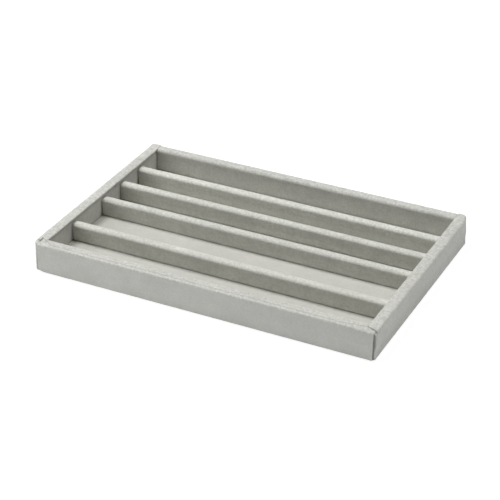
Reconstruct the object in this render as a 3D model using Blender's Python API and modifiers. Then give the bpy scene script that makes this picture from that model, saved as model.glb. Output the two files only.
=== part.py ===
"""Necklace tray: a shallow open tray of boards covered in grey velour, with four glued partitions.

Metres, +Z up. The origin is the middle of the tray's footprint, on the table. +X is the tray's right and
-Y its front. The wall boards stand on a thin base board. Velour wraps cover the boards, a velour strip is
glued over each long face, and a felt pad under the base carries the tray.
"""

import math

import bmesh
import bpy
from mathutils import Vector

# The tray over its velour.
LENGTH = 0.2400
DEPTH = 0.1600
HEIGHT = 0.0208

# Sheet and board thicknesses.
VELOUR = 0.0006
WALL_BOARD = 0.0047
PARTITION_BOARD = 0.0046
BASE_BOARD = 0.0015
FLOOR_CARD = 0.0005
FELT = 0.0012

# The line of glue between two pieces.
GLUE = 0.0003

# The bay in front of each partition, from the front, as a share of all the bays' depth. The rear bay
# takes the rest.
BAY_SHARES = (0.2575, 0.2659, 0.1539, 0.1522)

# How far the front wall and the partitions stop below the tray's rim.
FRONT_DROP = 0.0005
PARTITION_DROP = 0.0034

# Radii of the tray's upright corners and of the velour's soft and crisp edges.
CORNER = 0.0035
SOFT_EDGE = 0.0020
CRISP_EDGE = 0.0012

# Velour's cut edges: what a face strip leaves bare at its left and its right end, as seen from outside,
# its stop below its wall's rim, the hem's stop before the wall's inner face, and the slit between the two
# hems of a partition.
LEFT_REVEAL = 0.0037
RIGHT_REVEAL = 0.0008
STRIP_DROP = 0.0004
HEM_SETBACK = 0.0015
PARTITION_SLIT = 0.0020

# How far a cutter runs past what it cuts.
OVERRUN = 0.0010

# Fineness of the rounded shapes, and the angle from which an edge is shaded sharp.
EDGE_SEGMENTS = 4
ARC_SEGMENTS = 16
SHARP_ANGLE = math.radians(40.0)
WIDEST_EDGE = max(CORNER, SOFT_EDGE, CRISP_EDGE)

# Sizes that follow from these.
SKIN = VELOUR + GLUE
WRAPPED_WALL = WALL_BOARD + 2 * SKIN
WRAPPED_PARTITION = PARTITION_BOARD + 2 * SKIN
HEM_LEVEL = FELT - VELOUR
HEM_TIP = WRAPPED_WALL - HEM_SETBACK
BASE_LEVEL = FELT + GLUE
FRAME_LEVEL = BASE_LEVEL + BASE_BOARD + GLUE
FLOOR_LEVEL = FRAME_LEVEL + FLOOR_CARD + GLUE
PARTITION_LEVEL = FLOOR_LEVEL + VELOUR + GLUE
FRONT_TOP = HEIGHT - FRONT_DROP
PARTITION_TOP = HEIGHT - PARTITION_DROP

# Half sizes, from the middle of the tray, and the depth of all the bays together.
WRAP_HALF_DEPTH = DEPTH / 2 - SKIN
BASE_HALF_LENGTH = LENGTH / 2 - SKIN
BASE_HALF_DEPTH = WRAP_HALF_DEPTH - SKIN
INNER_HALF_LENGTH = LENGTH / 2 - WRAPPED_WALL
INNER_HALF_DEPTH = WRAP_HALF_DEPTH - WRAPPED_WALL
FLOOR_HALF_LENGTH = INNER_HALF_LENGTH - GLUE
FLOOR_HALF_DEPTH = INNER_HALF_DEPTH - GLUE
FELT_HALF_LENGTH = LENGTH / 2 - HEM_TIP - GLUE
FELT_HALF_DEPTH = WRAP_HALF_DEPTH - HEM_TIP - GLUE
BAYS_DEPTH = 2 * INNER_HALF_DEPTH - len(BAY_SHARES) * WRAPPED_PARTITION

# The ways that a wall's faces look, in its own frame: +X along the wall and +Y into the tray.
WAYS = {
    "left": Vector((-1, 0, 0)),
    "right": Vector((1, 0, 0)),
    "out": Vector((0, -1, 0)),
    "in": Vector((0, 1, 0)),
    "down": Vector((0, 0, -1)),
    "up": Vector((0, 0, 1)),
}

# Colours in linear light, and roughness.
VELOUR_COLOUR = (0.50, 0.50, 0.46)
FLOOR_COLOUR = (0.54, 0.54, 0.49)
FELT_COLOUR = (0.30, 0.30, 0.28)
BOARD_COLOUR = (0.36, 0.25, 0.16)
CARD_COLOUR = (0.42, 0.40, 0.36)
CLOTH_ROUGHNESS = 0.95
BOARD_ROUGHNESS = 0.80


def clear_scene():
    """Remove every object that the scene starts with."""
    for thing in list(bpy.data.objects):
        bpy.data.objects.remove(thing, do_unlink=True)


def new_collection(name):
    """Make a collection under the scene's own."""
    group = bpy.data.collections.new(name)
    bpy.context.scene.collection.children.link(group)
    return group


def finish(name, colour, roughness):
    """Make one piece's own Principled material."""
    material = bpy.data.materials.new(name)
    material.use_nodes = True
    shader = material.node_tree.nodes["Principled BSDF"]
    shader.inputs["Base Color"].default_value = (*colour, 1.0)
    shader.inputs["Roughness"].default_value = roughness
    shader.inputs["Metallic"].default_value = 0.0
    material.diffuse_color = (*colour, 1.0)
    return material


def add_piece(tray, name, data, colour, roughness, parent=None):
    """Put a mesh or a curve into the tray as a named piece with its own material."""
    piece = bpy.data.objects.new(name, data)
    data.name = name
    data.materials.append(finish(name, colour, roughness))
    tray.objects.link(piece)
    piece.parent = parent
    return piece


def block(half_length, near, far, low, high):
    """A closed block in a bmesh: half_length to each side along x, near to far in y, low to high in z."""
    shape = bmesh.new()
    bmesh.ops.create_cube(shape, size=1.0)
    bmesh.ops.scale(shape, vec=(2 * half_length, far - near, high - low), verts=shape.verts)
    bmesh.ops.translate(shape, vec=(0.0, (near + far) / 2, (low + high) / 2), verts=shape.verts)
    shape.normal_update()
    return shape


def way_of(face):
    """The way that a flat face looks."""
    return max(WAYS, key=lambda way: face.normal.dot(WAYS[way]))


def set_radii(shape, radii):
    """Store radii on the edges between two faces, each pair named by the ways that its faces look."""
    shares = shape.edges.layers.float.new("bevel_weight_edge")
    for edge in shape.edges:
        ways = frozenset(way_of(face) for face in edge.link_faces)
        edge[shares] = radii.get(ways, 0.0) / WIDEST_EDGE


def mesh_of(shape):
    """Turn a bmesh into mesh data, shaded smooth over its rounded edges."""
    mesh = bpy.data.meshes.new("shape")
    shape.to_mesh(mesh)
    shape.free()
    mesh.shade_smooth()
    mesh.set_sharp_from_angle(angle=SHARP_ANGLE)
    return mesh


def round_edges(piece):
    """Round each edge by the radius stored on it."""
    bevel = piece.modifiers.new("rounded edges", "BEVEL")
    bevel.limit_method = "WEIGHT"
    bevel.width = WIDEST_EDGE
    bevel.segments = EDGE_SEGMENTS
    bevel.use_clamp_overlap = False


def thicken(piece):
    """Give an open surface the velour's thickness, on its inner side."""
    cloth = piece.modifiers.new("cloth", "SOLIDIFY")
    cloth.thickness = VELOUR
    cloth.offset = -1.0
    cloth.use_even_offset = True


def wall_radii(outer_edge, inner_edge, closed_ends):
    """The rounding of a wrapped wall's rim and, where its ends are closed, of its ends."""
    radii = {
        frozenset(("out", "up")): outer_edge,
        frozenset(("in", "up")): inner_edge,
        frozenset(("out", "down")): CRISP_EDGE,
    }
    if closed_ends:
        for end in ("left", "right"):
            radii[frozenset((end, "out"))] = CORNER
            radii[frozenset((end, "up"))] = SOFT_EDGE
            radii[frozenset((end, "down"))] = CRISP_EDGE
    return radii


def shrunk(radii, depth):
    """The same rounding on a layer that lies this deep under the velour's surface."""
    return {ways: max(radius - depth, 0.0) for ways, radius in radii.items()}


def board_radii(radii):
    """The rounding of the board under the velour. Its foot stays square."""
    return {ways: radius for ways, radius in shrunk(radii, SKIN).items() if "down" not in ways}


def add_cutter(cutters, name, wall, shape):
    """A wire shape in a wall's frame that only cuts."""
    cutter = bpy.data.objects.new(name, mesh_of(shape))
    cutter.parent = wall
    cutter.hide_render = True
    cutter.display_type = "WIRE"
    cutters.objects.link(cutter)
    round_edges(cutter)
    return cutter


def cut(piece, cutter):
    """Take the cutter's shape out of a piece."""
    boolean = piece.modifiers.new(cutter.name, "BOOLEAN")
    boolean.operation = "DIFFERENCE"
    boolean.solver = "EXACT"
    boolean.object = cutter


def add_wrap(tray, cutters, name, wall, half_length, top, radii, closed_ends):
    """Velour over one wall: its outer face, rim and inner face, and a hem turned under the base."""
    shape = block(half_length, 0.0, WRAPPED_WALL, HEM_LEVEL, top)
    set_radii(shape, radii)
    wrap = add_piece(tray, name, mesh_of(shape), VELOUR_COLOUR, CLOTH_ROUGHNESS, wall)
    round_edges(wrap)

    hollow_half_length = half_length + (-VELOUR if closed_ends else OVERRUN)
    hollow = block(hollow_half_length, VELOUR, WRAPPED_WALL - VELOUR, HEM_LEVEL + VELOUR, top - VELOUR)
    set_radii(hollow, shrunk(radii, VELOUR))
    cut(wrap, add_cutter(cutters, f"{name}_hollow", wall, hollow))

    foot = block(half_length + OVERRUN, HEM_TIP, WRAPPED_WALL + OVERRUN, HEM_LEVEL - OVERRUN, FRAME_LEVEL)
    cut(wrap, add_cutter(cutters, f"{name}_foot", wall, foot))


def add_wall_board(tray, name, wall, half_length, top, radii):
    """The board inside one wall, standing on the base board."""
    shape = block(half_length, SKIN, SKIN + WALL_BOARD, FRAME_LEVEL, top - SKIN)
    set_radii(shape, board_radii(radii))
    board = add_piece(tray, name, mesh_of(shape), BOARD_COLOUR, BOARD_ROUGHNESS, wall)
    round_edges(board)


def add_wall_frame(tray, name, place, turn):
    """An empty at the foot of a wall's outer face, turned so that its +Y looks into the tray."""
    wall = bpy.data.objects.new(name, None)
    wall.location = place
    wall.rotation_euler = (0.0, 0.0, math.radians(turn))
    tray.objects.link(wall)
    return wall


def add_long_wall(tray, cutters, side, place, turn, top, inner_edge):
    """A long wall: its board, its wrap between the side walls, and the strip over its whole face."""
    wall = add_wall_frame(tray, f"{side}_wall", (0.0, place, 0.0), turn)
    radii = wall_radii(CRISP_EDGE, inner_edge, closed_ends=False)
    add_wall_board(tray, f"{side}_board", wall, FLOOR_HALF_LENGTH, top, radii)
    add_wrap(tray, cutters, f"{side}_wrap", wall, FLOOR_HALF_LENGTH, top, radii, closed_ends=False)
    strip = block((LENGTH - LEFT_REVEAL - RIGHT_REVEAL) / 2, -SKIN, -GLUE, HEM_LEVEL, top - STRIP_DROP)
    bmesh.ops.translate(strip, vec=((LEFT_REVEAL - RIGHT_REVEAL) / 2, 0.0, 0.0), verts=strip.verts)
    add_piece(tray, f"{side}_face_strip", mesh_of(strip), VELOUR_COLOUR, CLOTH_ROUGHNESS, wall)


def add_side_wall(tray, cutters, side, place, turn):
    """A side wall, which runs past the ends of the long ones: its board and its wrap."""
    wall = add_wall_frame(tray, f"{side}_wall", (place, 0.0, 0.0), turn)
    radii = wall_radii(SOFT_EDGE, CRISP_EDGE, closed_ends=True)
    add_wall_board(tray, f"{side}_board", wall, BASE_HALF_DEPTH, HEIGHT, radii)
    add_wrap(tray, cutters, f"{side}_wrap", wall, WRAP_HALF_DEPTH, HEIGHT, radii, closed_ends=True)


def add_sheet(tray, name, half_length, half_depth, low, thickness, colour, roughness):
    """A flat rectangular sheet or board in the middle of the tray."""
    shape = block(half_length, -half_depth, half_depth, low, low + thickness)
    return add_piece(tray, name, mesh_of(shape), colour, roughness)


def add_base(tray):
    """The felt pad, the base board, the floor card and the floor's velour, from the table up."""
    felt_sizes = (FELT_HALF_LENGTH, FELT_HALF_DEPTH)
    add_sheet(tray, "underside_felt", *felt_sizes, 0.0, FELT, FELT_COLOUR, CLOTH_ROUGHNESS)

    corners = {frozenset((end, face)): CORNER for end in ("left", "right") for face in ("in", "out")}
    base = block(BASE_HALF_LENGTH, -BASE_HALF_DEPTH, BASE_HALF_DEPTH, BASE_LEVEL, BASE_LEVEL + BASE_BOARD)
    set_radii(base, board_radii(corners))
    round_edges(add_piece(tray, "base_board", mesh_of(base), BOARD_COLOUR, BOARD_ROUGHNESS))

    floor_sizes = (FLOOR_HALF_LENGTH, FLOOR_HALF_DEPTH)
    add_sheet(tray, "floor_card", *floor_sizes, FRAME_LEVEL, FLOOR_CARD, CARD_COLOUR, BOARD_ROUGHNESS)
    add_sheet(tray, "floor_velour", *floor_sizes, FLOOR_LEVEL, VELOUR, FLOOR_COLOUR, CLOTH_ROUGHNESS)


def arch(half_width, low, top):
    """Points (y, z) up one side, over a half-round top and down the other side."""
    points = [(-half_width, low)]
    for step in range(ARC_SEGMENTS + 1):
        angle = math.pi * (1 - step / ARC_SEGMENTS)
        points.append((half_width * math.cos(angle), top - half_width * (1 - math.sin(angle))))
    return [*points, (half_width, low)]


def add_partition_board(tray, name, partition, half_length):
    """The core of a partition: an arched outline drawn out along the tray."""
    outline = arch(PARTITION_BOARD / 2, PARTITION_LEVEL + SKIN, PARTITION_TOP - SKIN)
    curve = bpy.data.curves.new(name, "CURVE")
    curve.dimensions = "2D"
    curve.fill_mode = "BOTH"
    curve.extrude = half_length
    line = curve.splines.new("POLY")
    line.points.add(len(outline) - 1)
    for point, (y, z) in zip(line.points, outline):
        point.co = (y, z, 0.0, 1.0)
    line.use_cyclic_u = True
    board = add_piece(tray, name, curve, BOARD_COLOUR, BOARD_ROUGHNESS, partition)
    board.rotation_euler = (math.pi / 2, 0.0, math.pi / 2)


def add_partition_cover(tray, name, partition):
    """Velour folded over a partition, with its two hems turned under the core."""
    sides = arch(WRAPPED_PARTITION / 2, PARTITION_LEVEL, PARTITION_TOP)
    chain = [(-PARTITION_SLIT / 2, PARTITION_LEVEL), *sides, (PARTITION_SLIT / 2, PARTITION_LEVEL)]
    shape = bmesh.new()
    row = [shape.verts.new((-FLOOR_HALF_LENGTH, y, z)) for y, z in chain]
    edges = [shape.edges.new(pair) for pair in zip(row, row[1:])]
    drawn = bmesh.ops.extrude_edge_only(shape, edges=edges)["geom"]
    ends = [item for item in drawn if isinstance(item, bmesh.types.BMVert)]
    bmesh.ops.translate(shape, vec=(2 * FLOOR_HALF_LENGTH, 0.0, 0.0), verts=ends)
    bmesh.ops.recalc_face_normals(shape, faces=shape.faces)
    cover = add_piece(tray, name, mesh_of(shape), VELOUR_COLOUR, CLOTH_ROUGHNESS, partition)
    thicken(cover)


def add_partitions(tray):
    """The four partitions, glued on the floor's velour between the side walls."""
    front = -INNER_HALF_DEPTH
    for number, share in enumerate(BAY_SHARES, start=1):
        front += share * BAYS_DEPTH
        partition = bpy.data.objects.new(f"partition_{number}", None)
        partition.location = (0.0, front + WRAPPED_PARTITION / 2, 0.0)
        tray.objects.link(partition)
        add_partition_board(tray, f"partition_board_{number}", partition, FLOOR_HALF_LENGTH - GLUE)
        add_partition_cover(tray, f"partition_cover_{number}", partition)
        front += WRAPPED_PARTITION


def main():
    """Build the tray from the table up."""
    clear_scene()
    tray = new_collection("necklace_tray")
    cutters = new_collection("cutters")
    add_base(tray)
    add_long_wall(tray, cutters, "front", -WRAP_HALF_DEPTH, 0.0, FRONT_TOP, CRISP_EDGE)
    add_long_wall(tray, cutters, "rear", WRAP_HALF_DEPTH, 180.0, HEIGHT, SOFT_EDGE)
    add_side_wall(tray, cutters, "left", -LENGTH / 2, -90.0)
    add_side_wall(tray, cutters, "right", LENGTH / 2, 90.0)
    add_partitions(tray)


main()
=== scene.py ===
"""Looks for the velour necklace tray: an open tray of wrapped boards with four partitions.

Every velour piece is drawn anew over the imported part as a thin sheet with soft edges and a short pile.
The boards and the card inside keep their shapes and get a finish of their own. Metres, +Z up, the tray's
front faces -Y.
"""

import logging
import math
from dataclasses import dataclass, field, fields
from enum import Enum
from types import SimpleNamespace
from typing import Sequence, Union

import bpy
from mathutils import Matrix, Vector

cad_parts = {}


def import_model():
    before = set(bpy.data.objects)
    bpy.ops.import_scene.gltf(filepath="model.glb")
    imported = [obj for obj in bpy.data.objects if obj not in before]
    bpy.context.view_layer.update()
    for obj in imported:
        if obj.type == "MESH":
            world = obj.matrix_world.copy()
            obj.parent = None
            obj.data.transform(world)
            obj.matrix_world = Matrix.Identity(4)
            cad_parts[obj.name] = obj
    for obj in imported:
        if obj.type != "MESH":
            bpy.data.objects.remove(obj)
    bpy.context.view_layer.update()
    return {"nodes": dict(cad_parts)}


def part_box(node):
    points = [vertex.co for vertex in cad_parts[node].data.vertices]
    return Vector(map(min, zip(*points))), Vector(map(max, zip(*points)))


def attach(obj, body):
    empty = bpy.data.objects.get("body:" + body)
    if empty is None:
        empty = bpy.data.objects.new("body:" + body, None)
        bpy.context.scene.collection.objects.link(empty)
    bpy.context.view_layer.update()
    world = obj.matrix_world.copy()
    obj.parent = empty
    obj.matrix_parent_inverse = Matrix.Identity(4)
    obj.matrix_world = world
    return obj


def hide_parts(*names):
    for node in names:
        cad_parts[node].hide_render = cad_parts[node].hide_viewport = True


log = logging.getLogger("necklace_tray")

BODY = "root"

# The camera, measured from the photograph's straight edges.
CAMERA_PLACE = Vector((0.42375, -0.8552, 0.5614))
CAMERA_AIM = Vector((0.00265, -0.0098, 0.0104))
CAMERA_LENS_MM = 120.54
CAMERA_SENSOR_MM = 36.0
CAMERA_NEAR = 0.01
CAMERA_FAR = 20.0

# The visible cloth, how far the front strip's lap keeps from the rim under it, and the felt.
CLOTH = 0.0005
AIR = 0.0001
FELT_THICKNESS = 0.0011

# The front rim: its width, how much its velour lies lower to make room for the strip's lap, and how much
# higher its inner side lies than its outer side.
FRONT_RIM_WIDTH = 0.0065
FRONT_RIM_DROP = 0.0003
FRONT_TILT = 0.0007

# How far the rear strip stops lower than its node, out of sight behind the rim, and how far a strip that
# doesn't lap over the rim turns in at its top.
REAR_STRIP_DROP = 0.0008
PLAIN_LAP = CLOTH * 1.2

# The girth of each cloth, laid flat, and the lengths of the sheets between and along the side walls.
WALL_GIRTH = 0.049
COVER_GIRTH = 0.034
BETWEEN_WALLS = 0.2264
SIDE_WALL_RUN = 0.166

# How much lighter or darker each partition's cover is painted, from the front to the rear: painted light and
# shade for how the light falls on each.
COVER_PAINTED_LIGHT = (1.0, 0.97, 1.0, 1.06)
WALL_COLOUR = (0.595, 0.595, 0.555)
COVER_COLOUR = (0.615, 0.615, 0.566)
FLOOR_COLOUR = (0.568, 0.565, 0.521)

# Fineness of the swept cloth: the longest straight piece of its section, the points of a rounding, the
# rows that close an end, the rows for each metre, and a few more for short pieces.
PROFILE_STEP = 0.0009
ARC_POINTS = 7
CAP_ROWS = 6
ROWS_PER_METRE = 1700
SPARE_ROWS = 3

# Fineness of the flat sheets.
SHEET_COLUMNS = 190
SHEET_ROWS = 122

# How far rows crowd towards the ends: a quarter turn would crowd them without limit.
QUARTER_TURN = math.pi / 2
CROWDING = 0.97 * QUARTER_TURN

# Points this close are one, and nothing is divided by less.
TINY = 1e-6

# Faces that meet at a sharper bend than this, in degrees, show an edge.
SHARP_BEND = 50.0

# The cloth's low waves and the finer ripples on them, for swept and for flat pieces.
WAVE_SIZE = 0.012
RIPPLE_SIZE = 0.0035
FLAT_WAVE_SIZE = 0.03
FLAT_RIPPLE_SIZE = 0.006
RIPPLE_SHARE = 0.4
WAVE_DETAIL = 2.0

# Under the top: where the band with a painted highlight starts to fade and where it ends, and how deep the
# rim itself reaches.
TOP_BAND_START = 0.0003
TOP_BAND_END = 0.0020
RIM_DEPTH = 0.001

# Most of a noise's values lie between these.
NOISE_LOW = 0.3
NOISE_HIGH = 0.7

Number = Union[float, int, "Field", bpy.types.NodeSocket]
Colour = tuple[float, float, float]
Levels = tuple[float, float]


class Side(Enum):
    """Which way a wall looks, with the turn that brings its own +Y into the tray."""

    FRONT = 0.0
    REAR = 180.0
    LEFT = -90.0
    RIGHT = 90.0

    @property
    def runs_along_x(self) -> bool:
        """True for the two long walls."""
        return self in (Side.FRONT, Side.REAR)

    @property
    def outward(self) -> float:
        """The sign of the axis that the wall looks along."""
        return -1.0 if self in (Side.FRONT, Side.LEFT) else 1.0


class Socket(Enum):
    """The kinds of named input that a node tree takes."""

    FLOAT = "NodeSocketFloat"
    INT = "NodeSocketInt"
    VECTOR = "NodeSocketVector"
    MATERIAL = "NodeSocketMaterial"


# The sizes that aren't plain numbers with a fraction.
KINDS = {
    "rows": Socket.INT,
    "columns": Socket.INT,
    "cap_rows": Socket.INT,
    "place": Socket.VECTOR,
    "material": Socket.MATERIAL,
}


def label(name: str) -> str:
    """A size's name as it stands on a tree's input."""
    return name.replace("_", " ").capitalize()


# The trees that draw the cloth
class Field:
    """A number inside a node tree, with arithmetic that adds the matching nodes."""

    def __init__(self, graph: "Graph", socket: bpy.types.NodeSocket) -> None:
        """Keep the graph and the socket that gives the number."""
        self.graph = graph
        self.socket = socket

    def __add__(self, other: Number) -> "Field":
        """Sum."""
        return self.graph.math("ADD", self, other)

    def __sub__(self, other: Number) -> "Field":
        """Difference."""
        return self.graph.math("SUBTRACT", self, other)

    def __rsub__(self, other: Number) -> "Field":
        """Difference, the other way round."""
        return self.graph.math("SUBTRACT", other, self)

    def __mul__(self, other: Number) -> "Field":
        """Product."""
        return self.graph.math("MULTIPLY", self, other)

    def __truediv__(self, other: Number) -> "Field":
        """Quotient."""
        return self.graph.math("DIVIDE", self, other)


class Graph:
    """A geometry node tree under construction, with short calls for its nodes."""

    def __init__(self, name: str) -> None:
        """Start an empty tree with one geometry output."""
        self.tree = bpy.data.node_groups.new(name, "GeometryNodeTree")
        self.tree.interface.new_socket("Cloth", in_out="OUTPUT", socket_type="NodeSocketGeometry")
        self.given = self.tree.nodes.new("NodeGroupInput")
        self.result = self.tree.nodes.new("NodeGroupOutput")

    def sizes(self, names: Sequence[str]) -> SimpleNamespace:
        """Add a named input for each size.

        Args:
            names: The sizes' names, with underscores between their words.

        Returns:
            The inputs' numbers, under the same names.
        """
        for name in names:
            kind = KINDS.get(name, Socket.FLOAT)
            self.tree.interface.new_socket(label(name), in_out="INPUT", socket_type=kind.value)
        return SimpleNamespace(**{name: Field(self, self.given.outputs[label(name)]) for name in names})

    def node(self, kind: str, inputs: dict | None = None, **settings: object) -> bpy.types.Node:
        """Add a node.

        Args:
            kind: The node's type.
            inputs: What goes into its sockets, by name or number.
            settings: The node's own options.

        Returns:
            The new node.
        """
        node = self.tree.nodes.new(kind)
        for key, value in settings.items():
            setattr(node, key, value)
        for key, value in (inputs or {}).items():
            self.feed(node.inputs[key], value)
        return node

    def feed(self, socket: bpy.types.NodeSocket, value: object) -> None:
        """Fill an input.

        Args:
            socket: The input.
            value: A field or a socket to link to it, or a value of its own.
        """
        if isinstance(value, Field):
            value = value.socket
        if isinstance(value, bpy.types.NodeSocket):
            self.tree.links.new(value, socket)
        else:
            socket.default_value = value

    def take(self, kind: str, inputs: dict | None = None, output: str | int = 0, **settings: object) -> Field:
        """Add a node and take one of its outputs, by name or number."""
        node = self.node(kind, inputs, **settings)
        return Field(self, node.outputs[output])

    def math(self, operation: str, *values: Number) -> Field:
        """Add a math node and give its result."""
        return self.take("ShaderNodeMath", dict(enumerate(values)), operation=operation)

    def smooth(self, value: Number, low: Number, high: Number) -> Field:
        """0 up to the low limit, 1 from the high one, and a soft rise between."""
        inputs = {"Value": value, "From Min": low, "From Max": high}
        return self.take("ShaderNodeMapRange", inputs, "Result", interpolation_type="SMOOTHSTEP")

    def fall(self, value: Number, low: Number, high: Number) -> Field:
        """1 up to the low limit, 0 from the high one, and a soft fall between."""
        return 1.0 - self.smooth(value, low, high)

    def mix(self, first: Number, second: Number, share: Number) -> Field:
        """From the first number at share 0 to the second at share 1."""
        return first + (second - first) * share

    def here(self) -> Field:
        """Where the point is now."""
        return self.take("GeometryNodeInputPosition")

    def vector(self, x: Number, y: Number, z: Number) -> Field:
        """Three numbers as one vector."""
        return self.take("ShaderNodeCombineXYZ", {0: x, 1: y, 2: z})

    def split(self, vector: Number) -> tuple[Field, ...]:
        """A vector as three numbers."""
        split = self.node("ShaderNodeSeparateXYZ", {0: vector})
        return tuple(Field(self, socket) for socket in split.outputs)

    def place(self, geometry: Number, position: Field) -> Field:
        """Move each point to a new position."""
        return self.take("GeometryNodeSetPosition", {"Geometry": geometry, "Position": position})

    def store(self, geometry: Number, name: str, value: Number) -> Field:
        """The geometry with a number kept on its points, under a name."""
        inputs = {"Geometry": geometry, "Name": name, "Value": value}
        return self.take("GeometryNodeStoreNamedAttribute", inputs, data_type="FLOAT", domain="POINT")

    def kept(self, name: str) -> Field:
        """A number that was kept on the points."""
        return self.take("GeometryNodeInputNamedAttribute", {"Name": name}, data_type="FLOAT")

    def pick(self, options: Sequence[object], kind: str) -> Field:
        """Choose by the point's index.

        Args:
            options: What the points get, in their order.
            kind: The options' kind of data.

        Returns:
            The option for each point.
        """
        node = self.node("GeometryNodeIndexSwitch", data_type=kind)
        while len(node.index_switch_items) < len(options):
            node.index_switch_items.new()
        self.feed(node.inputs["Index"], self.take("GeometryNodeInputIndex"))
        for number, option in enumerate(options):
            self.feed(node.inputs[str(number)], option)
        return Field(self, node.outputs[0])

    def noise(self, size: float, seed: Number) -> Field:
        """Smooth noise in space, from about -0.5 to 0.5, with bumps of about this size."""
        inputs = {"Vector": self.here(), "W": seed, "Scale": 1.0 / size, "Detail": WAVE_DETAIL}
        return self.take("ShaderNodeTexNoise", inputs, noise_dimensions="4D") - 0.5

    def waves(self, seed: Number, wave: float = WAVE_SIZE, ripple: float = RIPPLE_SIZE) -> Field:
        """Low waves with finer ripples on them."""
        return self.noise(wave, seed) + self.noise(ripple, seed) * RIPPLE_SHARE

    def ruffle(self, geometry: Number, height: Field) -> Field:
        """Push each point out along the surface's normal.

        Args:
            geometry: The mesh.
            height: How far each point goes.

        Returns:
            The mesh with its points moved.
        """
        normal = self.take("GeometryNodeInputNormal")
        offset = self.take("ShaderNodeVectorMath", {0: normal, "Scale": height}, operation="SCALE")
        return self.take("GeometryNodeSetPosition", {"Geometry": geometry, "Offset": offset})

    def settle(self, geometry: Number, place: Number, turn: Number) -> Field:
        """Turn the cloth about the upright and move its own origin to its place in the tray."""
        inputs = {"Geometry": geometry, "Translation": place, "Rotation": self.vector(0.0, 0.0, turn)}
        return self.take("GeometryNodeTransform", inputs)

    def outline(self, corners: Sequence[Field], radii: Sequence[Number], step: Number) -> Field:
        """A line through corners, rounded at each by its radius and divided evenly.

        Args:
            corners: The corner points.
            radii: A radius for each.
            step: The longest straight piece.

        Returns:
            The line as a curve.
        """
        line = self.take("GeometryNodeMeshLine", {"Count": len(corners)})
        line = self.place(line, self.pick(corners, "VECTOR"))
        line = self.store(line, "rounding", self.pick(radii, "FLOAT"))
        curve = self.take("GeometryNodeMeshToCurve", {"Mesh": line})
        inputs = {"Curve": curve, "Count": ARC_POINTS, "Radius": self.kept("rounding"), "Limit Radius": True}
        curve = self.take("GeometryNodeFilletCurve", inputs, mode="POLY")

        here = self.here()
        inputs = {"Index": self.take("GeometryNodeInputIndex") + 1, "Value": here}
        following = self.take("GeometryNodeFieldAtIndex", inputs, data_type="FLOAT_VECTOR", domain="POINT")
        gap = self.take("ShaderNodeVectorMath", {0: here, 1: following}, "Value", operation="DISTANCE")
        cuts = self.math("FLOOR", gap / step)
        return self.take("GeometryNodeSubdivideCurve", {"Curve": curve, "Cuts": cuts})

    def end(self, geometry: Number, material: Number) -> None:
        """Close the tree with real geometry, smooth shading and a material.

        Args:
            geometry: The finished cloth.
            material: Its finish.
        """
        real = self.take("GeometryNodeRealizeInstances", {"Geometry": geometry})
        smooth = self.take("GeometryNodeSetShadeSmooth", {"Geometry": real})
        dressed = self.take("GeometryNodeSetMaterial", {"Geometry": smooth, "Material": material})
        self.feed(self.result.inputs[0], dressed)


def quarter_drop(graph: Graph, distance: Field, radius: Number) -> Field:
    """How far a rounded corner falls back.

    Args:
        graph: The tree under construction.
        distance: How far the point lies from the end that the corner rounds.
        radius: The corner's radius.

    Returns:
        The radius at the end itself, and nothing a radius away from it.
    """
    radius = graph.math("MAXIMUM", radius, TINY)
    inside = radius - graph.math("MINIMUM", distance, radius)
    return radius - graph.math("SQRT", graph.math("MAXIMUM", radius * radius - inside * inside, 0.0))


def swept_grid(graph: Graph, curve: Field, rows: Field) -> tuple[Field, Field, Field]:
    """A grid with one column for each point of a curve.

    Args:
        graph: The tree under construction.
        curve: The curve that gives the section.
        rows: How many rows the grid has.

    Returns:
        The grid, how far along it each point lies from -1 to 1, and its place on the section.
    """
    columns = graph.take("GeometryNodeAttributeDomainSize", {0: curve}, "Point Count", component="CURVE")
    inputs = {"Size X": 2.0, "Size Y": 1.0, "Vertices X": rows, "Vertices Y": columns}
    grid = graph.take("GeometryNodeMeshGrid", inputs, "Mesh")
    along, across, _ = graph.split(graph.here())
    column = graph.math("ROUND", (across + 0.5) * (columns - 1))
    inputs = {"Geometry": curve, "Value": graph.here(), "Index": column}
    sample = graph.take("GeometryNodeSampleIndex", inputs, data_type="FLOAT_VECTOR", domain="POINT",
                        clamp=True)
    return grid, along, sample


def worn(graph: Graph, z: Field, top: Field) -> Field:
    """The band that gets a painted highlight and more flecks: 1 on the top, and nothing a little under it."""
    return graph.fall(top - z, TOP_BAND_START, TOP_BAND_END)


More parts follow.
